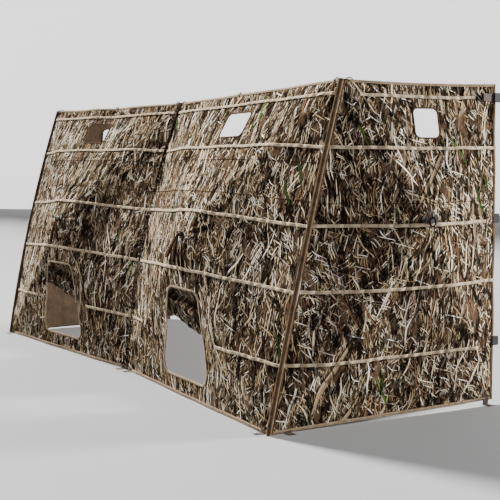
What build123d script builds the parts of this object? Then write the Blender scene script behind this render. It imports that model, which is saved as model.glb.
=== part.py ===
from build123d import *
from dataclasses import dataclass
from math import atan2, degrees
import os

os.makedirs("parts", exist_ok=True)

# ---- Driving dimensions, mm. The blind is open at the top and at the back: a front wall of
# ---- two hub panels leans back, and one hub panel stands at each end.
height = 1650  # ground to the top edge
length = 3780  # front corner to front corner
depth = 1353  # front corner to the back edge of an end wall
lean = 408  # top of the front wall behind its foot
setback = 120  # middle seam behind the line of the front corners
rise_front = 231  # how far a hub stands out of its wall
rise_end = 165
hem_rise = 22  # back corner of an end wall above the ground
hub_flat = 16  # the fabric is flat where the hub clamps it, this far short of the peak

# ---- Sheets and webbing
sheet = 2.0  # fabric and its backing
gap = 0.4  # between stacked sewn layers
webbing = 1.5
strap_width = 16
strap_heights = (0.957, 0.803, 0.580, 0.395, 0.191)  # of the wall's height
seam_radius = 7
sleeve_radius = 13  # webbing sleeve on each front corner
sleeve_wall = 2.5
back = 40  # blanks start this far behind a wall

# ---- Hubs and poles
hub_radius = 46
hub_thick = 22
pin_reach = 36  # hub centre to each pole's pin
pin_radius = 2.5
slot_width = 10
neck_radius = 9
cap_radius = 18
cap_thick = 5
pole_radius = 5.5
ferrule_radius = 7.5
tip_radius = 7
tip_short = 85  # a pole ends this far short of its corner

# ---- Openings
door_low, door_high = 102, 564
door_foot, door_head = 602, 388
window_span_front, window_span_end = (1426, 1572), (1379, 1522)  # sill and head, up the slope
window_width_front, window_width_end = 282, 148
window_shift_front, window_shift_end = 36, -18  # from the middle of the top edge

# ---- Buckles, pockets and stake loops
buckle_length, buckle_width, buckle_thick = 38, 48, 12
pocket_leg = 150
pocket_depth = 14
tab_width, tab_reach, tab_thick, grommet_radius = 36, 48, 2.0, 6

# the origin is on the ground, under the middle of the whole blind
front_line = -(depth + buckle_length / 2 - tab_reach) / 2


def crossing(a, along_a, b, along_b):
    """The point where two lines in the wall's plane meet."""
    cross = along_a.X * along_b.Y - along_a.Y * along_b.X
    step = ((b - a).X * along_b.Y - (b - a).Y * along_b.X) / cross
    return a + along_a * step


def inset(quad, margins):
    """A four-sided outline with its bottom, right, top and left edges moved in by the margins."""
    lines = []
    for i, margin in enumerate(margins):
        along = (quad[(i + 1) % 4] - quad[i]).normalized()
        lines.append((quad[i] + Vector(-along.Y, along.X) * margin, along))
    return [crossing(*lines[i - 1], *lines[i]) for i in range(4)]


@dataclass
class Wall:
    """One hub panel. Its plane's x runs along the foot, y up the slope and z outward."""

    name: str
    plane: Plane
    quad: list  # lower left, lower right, upper right and upper left
    margins: tuple  # from the quad to the fabric's own edges
    rise: float
    window_width: float
    window_middle: float
    window_span: tuple
    has_door: bool
    spans: tuple  # for each strap, its ends as shares of the width
    corner_names: tuple

    def __post_init__(self):
        self.edge = inset(self.quad, self.margins)
        self.hub = crossing(
            self.edge[0], self.edge[2] - self.edge[0], self.edge[1], self.edge[3] - self.edge[1]
        )
        self.slope_length = self.edge[3].Y

    def at(self, u, v, w=0.0):
        """A point given along the foot, up the slope and outward."""
        return self.plane.from_local_coords(Vector(u, v, w))

    def facet(self, i, lift=0.0):
        """The outer plane between edge i and the hub: x along the edge, z outward."""
        a, b = self.edge[i], self.edge[(i + 1) % 4]
        start = self.at(a.X, a.Y, lift)
        along = self.at(b.X, b.Y, lift) - start
        to_peak = self.at(self.hub.X, self.hub.Y, lift + self.rise + hub_flat) - start
        return Plane(origin=start, x_dir=along, z_dir=along.cross(to_peak))

    def under_facet(self, i, u, v, drop):
        """A plane on facet i's inner face, at this point of the wall, set back by drop."""
        inner = self.facet(i, -sheet)
        base = self.at(u, v)
        reach = (inner.origin - base).dot(inner.z_dir) / self.plane.z_dir.dot(inner.z_dir)
        spot = base + self.plane.z_dir * reach - inner.z_dir * drop
        return Plane(spot, x_dir=inner.x_dir, z_dir=inner.z_dir)

    def ridge(self, i, reach):
        """Where the ridge from the hub to corner i is, at this reach from the hub."""
        way = self.edge[i] - self.hub
        share = reach / way.length
        spot = self.hub + way * share
        return Vector(spot.X, spot.Y, (self.rise + hub_flat) * (1 - share))


def tent(wall, lift):
    """All that lies behind the wall's outer face, with that face raised by lift."""
    with BuildPart() as block:
        with BuildSketch(wall.plane.offset(-back)):
            Polygon(*wall.edge, align=None)
        extrude(amount=back + wall.rise + lift)
        for i in range(4):
            split(bisect_by=wall.facet(i, lift), keep=Keep.BOTTOM)
    return block.part


def rounded(corners, radius):
    """A closed outline with round corners, in a wall's own plane."""
    with BuildSketch() as outline:
        Polygon(*corners, align=None)
        fillet(outline.vertices(), radius)
    return outline.sketch


def window_outline(wall, grow=0.0):
    """The window, above the hub."""
    left = wall.window_middle - wall.window_width / 2 - grow
    right = wall.window_middle + wall.window_width / 2 + grow
    low, high = wall.window_span[0] - grow, wall.window_span[1] + grow
    return rounded([(left, low), (right, low), (right, high), (left, high)], 32)


def door_outline(wall, grow=0.0):
    """The dog door, wider at its foot, below the hub."""
    middle = wall.hub.X
    foot, head = door_foot / 2 + grow, door_head / 2 + grow
    low, high = door_low - grow, door_high + grow
    corners = [(middle - foot, low), (middle + foot, low), (middle + head, high), (middle - head, high)]
    return rounded(corners, 70)


def write(part, label):
    """Write one sub-part and, as its mirror image, the same one at the other side."""
    with BuildPart() as right:
        add(part)
    right.part.label = f"{label}_right"
    export_step(right.part, f"parts/{right.part.label}.step")
    with BuildPart() as left:
        add(part)
        mirror(about=Plane.YZ, mode=Mode.REPLACE)
    left.part.label = f"{label}_left"
    export_step(left.part, f"parts/{left.part.label}.step")


def make_skin(wall):
    """Fabric: four flat facets that rise to the hub, with the window and the dog door cut out."""
    outer, inner = tent(wall, 0), tent(wall, -sheet)
    with BuildPart() as skin:
        add(outer)
        add(inner, mode=Mode.SUBTRACT)
        with BuildSketch(wall.plane.offset(-back)):
            with Locations(wall.hub):
                Circle(neck_radius + 2)
            add(window_outline(wall))
            if wall.has_door:
                add(door_outline(wall))
        extrude(amount=back + wall.rise, mode=Mode.SUBTRACT)
    write(skin.part, f"skin_{wall.name}")


def make_straps(wall):
    """Stubble straps: level bands of webbing over the fabric, in shorter lengths beside a door."""
    outer, inner = tent(wall, gap + webbing), tent(wall, gap)
    clear = inset(wall.edge, (20, 20, 20, 20))
    with BuildPart() as straps:
        add(outer)
        add(inner, mode=Mode.SUBTRACT)
        with BuildSketch(wall.plane.offset(-back)):
            for share, ends in zip(strap_heights, wall.spans):
                level = share * wall.slope_length
                for start, end in ends:
                    left = wall.quad[3].X * share + start * wall.quad[1].X
                    right = wall.quad[3].X * share + end * wall.quad[1].X
                    with Locations(((left + right) / 2, level)):
                        Rectangle(right - left, strap_width)
            Polygon(*clear, align=None, mode=Mode.INTERSECT)
        extrude(amount=back + wall.rise + hub_flat, mode=Mode.INTERSECT)
    write(straps.part, f"straps_{wall.name}")


def make_binding(wall):
    """Edge binding round the sheet and round its door and window, and a pocket in each corner."""
    outer, inner = tent(wall, gap + webbing), tent(wall, gap)
    with BuildPart() as binding:
        add(outer)
        add(inner, mode=Mode.SUBTRACT)
        with BuildSketch(wall.plane.offset(-back)):
            Polygon(*wall.edge, align=None)
            Polygon(*inset(wall.edge, (14, 14, 12, 14)), align=None, mode=Mode.SUBTRACT)
            add(window_outline(wall, grow=9))
            add(window_outline(wall, grow=0.5), mode=Mode.SUBTRACT)
            if wall.has_door:
                add(door_outline(wall, grow=13))
                add(door_outline(wall, grow=0.5), mode=Mode.SUBTRACT)
        extrude(amount=back + wall.rise + hub_flat, mode=Mode.INTERSECT)
    write(binding.part, f"binding_{wall.name}")


def make_pockets(wall):
    """Corner pockets behind the fabric: each is a flat cup, open towards the hub."""
    corners = inset(wall.edge, (3, 20, 3, 20))
    with BuildPart() as pockets:
        for i in range(4):
            ahead = (corners[(i + 1) % 4] - corners[i]).normalized()
            behind = (corners[i - 1] - corners[i]).normalized()
            legs = [corners[i], corners[i] + ahead * pocket_leg, corners[i] + behind * pocket_leg]
            mouth = [p + (ahead + behind) * 2.5 for p in legs]
            with BuildSketch(wall.plane.offset(-pocket_depth)):
                Polygon(*legs, align=None)
            extrude(amount=pocket_depth - sheet + 0.3)
            with BuildSketch(wall.plane.offset(-pocket_depth + 2)):
                Polygon(mouth[0], mouth[1] + ahead * 9, mouth[2] + behind * 9, align=None)
            extrude(amount=pocket_depth, mode=Mode.SUBTRACT)
    write(pockets.part, f"pockets_{wall.name}")


def make_hub(wall):
    """Moulded hub inside the fabric: four slots with a pin across each, and a neck through it."""
    top = wall.rise - sheet - 0.5
    pin_level = top - hub_thick / 2 - 0.5
    with BuildPart() as hub:
        with BuildSketch(wall.plane.offset(top - hub_thick)):
            with Locations(wall.hub):
                Circle(hub_radius)
        extrude(amount=hub_thick)
        fillet(hub.faces().sort_by(Axis(wall.at(0, 0), wall.plane.z_dir))[0].edges(), 3)
        for i in range(4):
            way = wall.edge[i] - wall.hub
            turn = degrees(atan2(way.Y, way.X))
            with BuildSketch(wall.plane.offset(top - hub_thick - 1)):
                with Locations(Location((wall.hub.X, wall.hub.Y), turn)):
                    with Locations((pin_reach + 3, 0)):
                        Rectangle(30, slot_width)
            extrude(amount=hub_thick - 3 + 1, mode=Mode.SUBTRACT)
            pin = wall.hub + way.normalized() * pin_reach
            across = wall.at(-way.Y, way.X) - wall.at(0, 0)
            with BuildSketch(Plane(wall.at(pin.X, pin.Y, pin_level), z_dir=across)):
                Circle(pin_radius)
            extrude(amount=slot_width / 2 + 5, both=True)
        with BuildSketch(wall.plane.offset(top - 1)):
            with Locations(wall.hub):
                Circle(neck_radius)
        extrude(amount=wall.rise + 7 - top + 1)
    write(hub.part, f"hub_{wall.name}")


def make_cap(wall):
    """Cap pressed on the neck, outside the pull loop."""
    with BuildPart() as cap:
        with BuildSketch(wall.plane.offset(wall.rise + 4.4)):
            with Locations(wall.hub):
                Circle(cap_radius)
        extrude(amount=cap_thick)
        fillet(cap.faces().sort_by(Axis(wall.at(0, 0), wall.plane.z_dir))[-1].edges(), 2)
        with BuildSketch(wall.plane.offset(wall.rise)):
            with Locations(wall.hub):
                Circle(neck_radius + 0.1)
        extrude(amount=7.1, mode=Mode.SUBTRACT)
    write(cap.part, f"hub_cap_{wall.name}")


def make_pull_loop(wall):
    """Pull loop: webbing round the neck with two tails that hang down over the fabric."""
    outer, inner = tent(wall, 4.0), tent(wall, 2.4)
    with BuildPart() as loop:
        add(outer)
        add(inner, mode=Mode.SUBTRACT)
        with BuildSketch(wall.plane.offset(-back)):
            with Locations(wall.hub):
                Circle(cap_radius - 2)
            for turn, tail in ((-16, 112), (9, 96)):
                with Locations(Location((wall.hub.X, wall.hub.Y), turn)):
                    with Locations((0, -tail / 2)):
                        Rectangle(22, tail)
            with Locations(wall.hub):
                Circle(neck_radius + 0.5, mode=Mode.SUBTRACT)
        extrude(amount=back + wall.rise + hub_flat, mode=Mode.INTERSECT)
    write(loop.part, f"pull_loop_{wall.name}")


def pole_ends(wall, i):
    """A pole's pin and its tip, in the wall's own coordinates."""
    way = (wall.edge[i] - wall.hub).normalized()
    pin = wall.hub + way * pin_reach
    pin = Vector(pin.X, pin.Y, wall.rise - sheet - 0.5 - hub_thick / 2 - 0.5)
    tip = wall.ridge(i, (wall.edge[i] - wall.hub).length - tip_short)
    return pin, tip - Vector(0, 0, sheet + tip_radius + 1)


def make_poles(wall):
    """Four poles: an eye on the hub's pin, a ferrule, a straight rod and a capped tip."""
    for i, corner in enumerate(wall.corner_names):
        pin, tip = pole_ends(wall, i)
        start, end = wall.at(*pin), wall.at(*tip)
        way = end - start
        across = wall.plane.z_dir.cross(way)
        swing = Plane(origin=start, x_dir=way, z_dir=across)
        along = Plane(origin=start, x_dir=across, z_dir=way)
        with BuildPart() as pole:
            with BuildSketch(swing.offset(-4.4)):
                Circle(6.5)
                with Locations((13, 0)):
                    Rectangle(26, 13)
            extrude(amount=8.8)
            with BuildSketch(swing):
                Circle(pin_radius + 0.2)
            extrude(amount=6, both=True, mode=Mode.SUBTRACT)
            with BuildSketch(along.offset(22)):
                Circle(ferrule_radius)
            extrude(amount=46)
            with BuildSketch(along.offset(60)):
                Circle(pole_radius)
            extrude(amount=way.length - 60 - 4)
            with BuildSketch(along.offset(way.length - 34)):
                Circle(tip_radius)
            extrude(amount=34)
            fillet(pole.faces().sort_by(Axis(start, way))[-1].edges(), 4)
        write(pole.part, f"pole_{wall.name}_{corner}")


def make_door_flap(wall):
    """Door flap, rolled up to a third of the doorway and hung from piping at its head."""
    hinge = wall.under_facet(0, wall.hub.X, door_high + 22, 5.5)
    with BuildPart() as flap:
        with BuildSketch(Plane(hinge.origin, z_dir=hinge.x_dir)):
            Circle(5)
        extrude(amount=door_head / 2 + 20, both=True)
        with BuildSketch(hinge.offset(-4)):
            Polygon(
                (-door_head / 2 - 18, 0),
                (-door_head / 2 - 46, -170),
                (door_head / 2 + 46, -206),
                (door_head / 2 + 18, 0),
                align=None,
            )
        extrude(amount=8)
    write(flap.part, f"door_flap_{wall.name}")


def make_window_flap(wall):
    """Window flap, let down inside below the window and hung from piping at its foot."""
    low, high = wall.window_span
    hinge = wall.under_facet(2, wall.window_middle, low - 14, 4.5)
    with BuildPart() as flap:
        with BuildSketch(Plane(hinge.origin, z_dir=hinge.x_dir)):
            Circle(4)
        extrude(amount=wall.window_width / 2 + 12, both=True)
        with BuildSketch(hinge.offset(-1)):
            with Locations((0, (high - low + 30) / 2)):
                Rectangle(wall.window_width + 30, high - low + 30)
        extrude(amount=2)
    write(flap.part, f"window_flap_{wall.name}")


def make_tabs(wall, places, buckle_tabs=()):
    """Webbing tabs: stake loops under the hem, each with a grommet hole, and buckle tabs."""
    hem, edge = wall.facet(0, gap + webbing + gap), wall.facet(1, gap + webbing + gap)
    foot_way = Vector(hem.x_dir.X, hem.x_dir.Y, 0)
    run = (wall.edge[2] - wall.edge[1]).length
    with BuildPart() as tabs:
        for place in places:
            top = hem.from_local_coords((place, 0, 0))
            out = foot_way.cross(Vector(0, 0, 1)).normalized()
            ground = Plane(Vector(top.X, top.Y, 0), x_dir=foot_way, z_dir=(0, 0, 1))
            with BuildSketch(hem):
                with Locations((place, (24 - top.Z) / 2)):
                    Rectangle(tab_width, 24 + top.Z)
            extrude(amount=tab_thick)
            inner = max(0, top.Z - 6) / 4
            with BuildSketch(ground):
                with Locations((0, (inner - tab_reach) / 2)):
                    Rectangle(tab_width, tab_reach + inner)
                with Locations((0, -tab_reach + 16)):
                    Circle(grommet_radius, mode=Mode.SUBTRACT)
            extrude(amount=tab_thick)
        split(bisect_by=Plane.XY, keep=Keep.TOP)
        for share, reach in buckle_tabs:
            with BuildSketch(edge):
                with Locations((share * run, reach / 2 - 4)):
                    Rectangle(38, reach)
            extrude(amount=webbing)
    write(tabs.part, f"tabs_{wall.name}")


def make_buckles(wall, buckle_tabs):
    """A buckle socket on each buckle tab, its mouth turned away from the wall's back edge."""
    run = (wall.edge[2] - wall.edge[1]).Y
    slope = (wall.rise + hub_flat) / (depth - wall.hub.X)
    level = webbing * 2 + gap * 3 + buckle_length / 2 * slope
    with BuildPart() as sockets:
        for share, _ in buckle_tabs:
            middle = (depth, wall.edge[1].Y + share * run)
            with BuildSketch(wall.plane.offset(level)):
                with Locations(middle):
                    RectangleRounded(buckle_length, buckle_width, 6)
            extrude(amount=buckle_thick)
            with BuildSketch(wall.plane.offset(level + 2.5)):
                with Locations((middle[0] + 7, middle[1])):
                    Rectangle(buckle_length, buckle_width - 12)
            extrude(amount=buckle_thick - 5, mode=Mode.SUBTRACT)
    write(sockets.part, f"buckle_sockets_{wall.name}")


def make_corner_sleeve():
    """Webbing sleeve along a front corner, the line that an end wall swings on."""
    foot = Vector(length / 2, front_line, 0)
    way = Vector(0, lean, height)
    with BuildPart() as sleeve:
        with BuildSketch(Plane(foot + way.normalized() * 6, z_dir=way)):
            Circle(sleeve_radius)
            Circle(sleeve_radius - sleeve_wall, mode=Mode.SUBTRACT)
        extrude(amount=way.length - 6)
    write(sleeve.part, "corner_sleeve")


def make_seam():
    """Piped seam between the front panels, and the strap that hangs from its top."""
    foot = Vector(0, front_line + setback, 0)
    way = Vector(0, lean, height)
    axis = Plane(foot, x_dir=(1, 0, 0), z_dir=way)
    with BuildPart() as seam_sleeve:
        with BuildSketch(axis.offset(4)):
            Circle(seam_radius)
            Circle(seam_radius - 2, mode=Mode.SUBTRACT)
        extrude(amount=way.length - 4)
    seam_sleeve.part.label = "seam_sleeve"
    export_step(seam_sleeve.part, "parts/seam_sleeve.step")
    with BuildPart() as strap:
        with BuildSketch(axis.offset(way.length - 540)):
            with Locations((0, -seam_radius - gap - 1)):
                Rectangle(20, 2)
        extrude(amount=540 + 4)
        with BuildSketch(axis.offset(way.length + 4)):
            with Locations((0, -1)):
                Rectangle(20, 2 * seam_radius + 4.8)
        extrude(amount=2.5)
    strap.part.label = "seam_strap"
    export_step(strap.part, "parts/seam_strap.step")


# ---- the two walls of the right half; the left half mirrors them
panel_way = Vector(length / 2, -setback, 0)
panel_width = panel_way.length
lean_way = Vector(0, lean, height)
lean_u = lean_way.dot(panel_way.normalized())
lean_v = (lean_way.length**2 - lean_u**2) ** 0.5
front = Wall(
    name="front",
    plane=Plane((0, front_line + setback, 0), x_dir=panel_way, z_dir=panel_way.cross(lean_way)),
    quad=[
        Vector(0, 0),
        Vector(panel_width, 0),
        Vector(panel_width + lean_u, lean_v),
        Vector(lean_u, lean_v),
    ],
    margins=(1, sleeve_radius + 0.5, 0, seam_radius + 0.5),
    rise=rise_front,
    window_width=window_width_front,
    window_middle=(panel_width + lean_u) / 2 + window_shift_front,
    window_span=window_span_front,
    has_door=True,
    spans=(((0, 1),), ((0, 1),), ((0, 1),), ((0, 1),), ((0, 0.29), (0.71, 1))),
    corner_names=("lower_inner", "lower_outer", "upper_outer", "upper_inner"),
)
end = Wall(
    name="end",
    plane=Plane((length / 2, front_line, 0), x_dir=(0, 1, 0), z_dir=(1, 0, 0)),
    quad=[Vector(0, 0), Vector(depth, hem_rise), Vector(depth, height), Vector(lean, height)],
    margins=(1, 0, 0, sleeve_radius + 0.5),
    rise=rise_end,
    window_width=window_width_end,
    window_middle=(lean + depth) / 2 + window_shift_end,
    window_span=window_span_end,
    has_door=False,
    spans=(((0.1, 0.84),), ((0, 1),), ((0, 0.92),), ((0, 1),), ((0, 0.9),)),
    corner_names=("lower_front", "lower_back", "upper_back", "upper_front"),
)

for wall in (front, end):
    make_skin(wall)
    make_straps(wall)
    make_binding(wall)
    make_pockets(wall)
    make_hub(wall)
    make_cap(wall)
    make_pull_loop(wall)
    make_poles(wall)
    make_window_flap(wall)
make_door_flap(front)
buckle_tabs = ((0.957, 120), (0.580, 64), (0.191, 60))  # height share and length of each
make_tabs(front, (45, panel_width - 60))
make_tabs(end, (90, depth - 60), buckle_tabs)
make_buckles(end, buckle_tabs)
make_corner_sleeve()
make_seam()
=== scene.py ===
"""Looks of the pop up ground blind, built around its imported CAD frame.

Every wall is a four-sided cloth that a hub pushes out. The cloth, straps, bindings and
seams are numpy grids laid on one formula for the wall's surface, so they stay together.
"""

import logging
from dataclasses import dataclass, field
from enum import Enum
from math import cos, pi, radians, sin
from typing import Callable, Optional, Sequence

import bpy
import numpy as np
from mathutils import Matrix, Vector

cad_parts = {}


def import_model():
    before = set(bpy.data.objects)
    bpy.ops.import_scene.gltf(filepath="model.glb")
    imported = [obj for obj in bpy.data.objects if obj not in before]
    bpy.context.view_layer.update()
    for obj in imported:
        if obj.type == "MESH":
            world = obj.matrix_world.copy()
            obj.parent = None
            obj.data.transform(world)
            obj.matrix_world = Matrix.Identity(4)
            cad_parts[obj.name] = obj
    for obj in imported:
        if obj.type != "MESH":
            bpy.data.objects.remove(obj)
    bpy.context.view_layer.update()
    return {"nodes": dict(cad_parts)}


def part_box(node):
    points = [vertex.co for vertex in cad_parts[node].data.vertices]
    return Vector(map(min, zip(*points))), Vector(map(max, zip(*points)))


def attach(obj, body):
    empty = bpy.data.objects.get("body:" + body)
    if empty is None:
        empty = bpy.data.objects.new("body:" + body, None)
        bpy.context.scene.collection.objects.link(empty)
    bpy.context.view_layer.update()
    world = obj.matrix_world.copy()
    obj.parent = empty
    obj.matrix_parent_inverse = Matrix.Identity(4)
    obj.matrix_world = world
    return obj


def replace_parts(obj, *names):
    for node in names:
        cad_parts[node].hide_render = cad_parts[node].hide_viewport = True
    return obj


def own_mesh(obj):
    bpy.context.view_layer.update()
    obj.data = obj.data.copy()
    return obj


log = logging.getLogger("blind")

HEIGHT, LENGTH, DEPTH, LEAN, SETBACK = 1.65, 3.78, 1.353, 0.408, 0.12
FRONT_LINE = -0.662
HEM_RISE = 0.022
HUB_FLAT = 0.016
SEAM_RADIUS, SLEEVE_RADIUS = 0.007, 0.013
STRAP_HEIGHTS = (0.957, 0.803, 0.580, 0.395, 0.191)
STRAP_WIDTH = 0.016
DOOR_LOW, DOOR_HIGH, DOOR_FOOT, DOOR_HEAD = 0.102, 0.564, 0.602, 0.388
CLOTH = 0.0012
SIDES = {"right": 1.0, "left": -1.0}
MIDDLE_DIP = 0.026
MIDDLE_FOOT = np.array([0.0, FRONT_LINE + SETBACK, 0.0])
SEAM_FACE = np.array([0.0, -0.97, 0.24])
GRID_STEP = 0.0135


class Surface(Enum):
    """The two kinds of hub panel."""

    FRONT = "front"
    END = "end"


def unit(v: np.ndarray) -> np.ndarray:
    """A vector's direction.

    Args:
        v: any vector, or rows of vectors.

    Returns:
        The same with length one.
    """
    return v / np.maximum(np.linalg.norm(v, axis=-1, keepdims=True), 1e-12)


def meeting(a: np.ndarray, along_a: np.ndarray, b: np.ndarray, along_b: np.ndarray) -> np.ndarray:
    """Where two lines in a plane meet.

    Args:
        a: a point on the first line.
        along_a: the first line's direction.
        b: a point on the second line.
        along_b: the second line's direction.

    Returns:
        The point that both lines go through.
    """
    cross = along_a[0] * along_b[1] - along_a[1] * along_b[0]
    step = ((b - a)[0] * along_b[1] - (b - a)[1] * along_b[0]) / cross
    return a + along_a * step


def inset(quad: np.ndarray, margins: Sequence[float]) -> np.ndarray:
    """Move each side of a four-sided outline in by its margin.

    Args:
        quad: four corners, anticlockwise from the lower left.
        margins: for the bottom, right, top and left sides.

    Returns:
        The four new corners.
    """
    lines = []
    for i, margin in enumerate(margins):
        along = unit(quad[(i + 1) % 4] - quad[i])
        lines.append((quad[i] + np.array([-along[1], along[0]]) * margin, along))
    return np.array([meeting(*lines[i - 1], *lines[i]) for i in range(4)])


def smooth_step(x: np.ndarray, low: float, high: float) -> np.ndarray:
    """0 below low, 1 above high and 3q^2 - 2q^3 between, q being the share of the way.

    Args:
        x: values.
        low: where the step starts.
        high: where it ends.

    Returns:
        The step's value at each x.
    """
    q = np.clip((x - low) / (high - low), 0, 1)
    return q * q * (3 - 2 * q)


@dataclass
class Wall:
    """One wall's cloth, in its own plane: u along the foot, v up the slope, w outward.

    The height is w = peak (1 - r), where r is the share of the way from the hub to the
    edge, so each quarter is flat and meets the next one in a ridge over a pole. Each edge
    bows by its own vector times 4t(1 - t) r^2, t being the share along that edge.
    """

    kind: Surface
    side: float
    origin: np.ndarray
    x: np.ndarray
    z: np.ndarray
    quad: np.ndarray
    margins: Sequence[float]
    rise: float
    window_width: float
    window_span: tuple
    window_shift: float
    bows: np.ndarray
    seed: int
    spans: Sequence[tuple]
    edge: np.ndarray = field(init=False)
    hub: np.ndarray = field(init=False)

    def __post_init__(self) -> None:
        """Work out the edge, the hub and the long waves of the cloth."""
        self.z = unit(self.z)
        self.x = unit(self.x - (self.x @ self.z) * self.z)
        self.y = np.cross(self.z, self.x)
        self.edge = inset(self.quad, self.margins)
        self.hub = meeting(
            self.edge[0], self.edge[2] - self.edge[0], self.edge[1], self.edge[3] - self.edge[1]
        )
        rng = np.random.default_rng(self.seed)
        angle = rng.uniform(0, pi, 14)
        wave = rng.uniform(0.16, 0.75, 14)
        self.waves = np.stack([np.cos(angle), np.sin(angle)], 1) * (2 * pi / wave)[:, None]
        self.phases = rng.uniform(0, 2 * pi, 14)
        self.sizes = wave * 0.0034
        self.twist = rng.uniform(0, 2 * pi, 8)

    @property
    def name(self) -> str:
        """The wall's name, as its CAD body has it after wall_."""
        return f"{self.kind.value}_{'right' if self.side > 0 else 'left'}"

    @property
    def outward(self) -> Vector:
        """The wall's own normal in the row frame."""
        return Vector((self.z[0] * self.side, self.z[1], self.z[2]))

    @property
    def middle(self) -> float:
        """Where the window's middle is along the foot."""
        return (self.quad[2][0] + self.quad[3][0]) / 2 + self.window_shift

    @property
    def slope(self) -> float:
        """The wall's length up the slope."""
        return float(self.edge[3][1])

    def quarters(self, u: np.ndarray, v: np.ndarray) -> tuple:
        """Which quarter each point is in, and where.

        Args:
            u: along the foot.
            v: up the slope.

        Returns:
            The quarter's number, r from the hub outward and t along its edge.
        """
        p = np.stack([u - self.hub[0], v - self.hub[1]], -1)
        near, far = [], []
        for i in range(4):
            a, b = self.edge[i] - self.hub, self.edge[(i + 1) % 4] - self.hub
            cross = a[0] * b[1] - a[1] * b[0]
            near.append((p[..., 0] * b[1] - p[..., 1] * b[0]) / cross)
            far.append((a[0] * p[..., 1] - a[1] * p[..., 0]) / cross)
        near, far = np.array(near), np.array(far)
        which = np.minimum(near, far).argmax(0)
        alpha = np.take_along_axis(near, which[None], 0)[0]
        beta = np.take_along_axis(far, which[None], 0)[0]
        r = np.maximum(alpha + beta, 1e-6)
        return which, r, np.clip(beta / r, 0, 1)

    def slack(
        self, u: np.ndarray, v: np.ndarray, which: np.ndarray, r: np.ndarray, t: np.ndarray
    ) -> np.ndarray:
        """Small unevenness of the cloth.

        Long waves die out at the ridges. Pleats run out from the hub as sin(2 pi 6 t),
        fading with r, and others gather into the corners. Each sewn strap pulls a
        shallow groove with puckers 55 mm long.

        Args:
            u: along the foot.
            v: up the slope.
            which: the quarter's number.
            r: share of the way out from the hub.
            t: share along the edge.

        Returns:
            Height to add at each point.
        """
        between = 4 * t * (1 - t)
        total = np.zeros_like(u)
        for wave, phase, size in zip(self.waves, self.phases, self.sizes):
            total += size * np.sin(wave[0] * u + wave[1] * v + phase)
        total *= between * smooth_step(r, 0.08, 0.5)
        twist = self.twist[which]
        total += 0.0032 * np.sin(2 * pi * 5.5 * t + twist) * between * np.exp(-((r - 0.2) ** 2) / 0.02)
        for i, corner in enumerate(self.edge):
            way = np.stack([u - corner[0], v - corner[1]], -1)
            reach = np.linalg.norm(way, axis=-1)
            angle = np.arctan2(way[..., 1], way[..., 0])
            total += 0.0042 * np.sin(13 * angle + self.twist[4 + i]) * np.exp(-((reach - 0.11) ** 2) / 0.008)
        for share in STRAP_HEIGHTS:
            off = np.exp(-(((v - share * self.slope) / 0.028) ** 2))
            total -= off * (0.0022 + 0.0016 * np.sin(2 * pi * u / 0.055 + 9 * share))
        width = np.linalg.norm(np.roll(self.edge, -1, 0) - self.edge, axis=1)[which]
        return total * smooth_step(np.minimum(t, 1 - t) * width * r, 0.010, 0.06)

    def shape(self, u: np.ndarray, v: np.ndarray) -> np.ndarray:
        """The cloth's surface in the right half of the row frame.

        Args:
            u: along the foot.
            v: up the slope.

        Returns:
            Points, as rows.
        """
        which, r, t = self.quarters(u, v)
        peak = self.rise + HUB_FLAT
        w = peak * (1 - r)
        share = np.clip(0.5 + 0.5 * (self.rise - w) / 0.02, 0, 1)
        w = self.rise * (1 - share) + w * share - 0.02 * share * (1 - share)
        w = w + self.slack(u, v, which, r, t)
        points = self.origin + u[..., None] * self.x + v[..., None] * self.y + w[..., None] * self.z
        out = np.minimum(r, 1.08) ** 2 * 4 * t * (1 - t)
        points = points + self.bows[which] * out[..., None]
        if self.kind is Surface.FRONT:
            width = self.edge[1][0] + (self.edge[2][0] - self.edge[1][0]) * v / self.slope
            dip = np.clip(1 - u / width, 0, 1) * np.clip(v / self.slope, 0, 1.1) ** 6
            points = points + dip[..., None] * MIDDLE_DIP * (0.35 * self.z - self.y)
        return points

    def place(self, u: np.ndarray, v: np.ndarray, lift: np.ndarray) -> np.ndarray:
        """Points over or under the cloth, in the row frame.

        Args:
            u: along the foot.
            v: up the slope.
            lift: distance outward from the cloth.

        Returns:
            Points, as rows, mirrored for a left wall.
        """
        u, v = np.broadcast_arrays(np.asarray(u, float), np.asarray(v, float))
        step = 0.004
        here = self.shape(u, v)
        across = self.shape(u + step, v) - self.shape(u - step, v)
        up = self.shape(u, v + step) - self.shape(u, v - step)
        points = here + unit(np.cross(across, up)) * np.asarray(lift, float)[..., None]
        return points * np.array([self.side, 1, 1])

    def frame(self, u: float, v: float) -> tuple:
        """Directions at one point of the cloth, in the row frame.

        Args:
            u: along the foot.
            v: up the slope.

        Returns:
            The point and the directions along u, along v and outward.
        """
        spots = self.place(np.array([u, u + 0.01, u]), np.array([v, v, v + 0.01]), np.zeros(3))
        across, up = unit(spots[1] - spots[0]), unit(spots[2] - spots[0])
        out = unit(np.cross(across, up)) * self.side
        return spots[0], across, up, out


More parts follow.
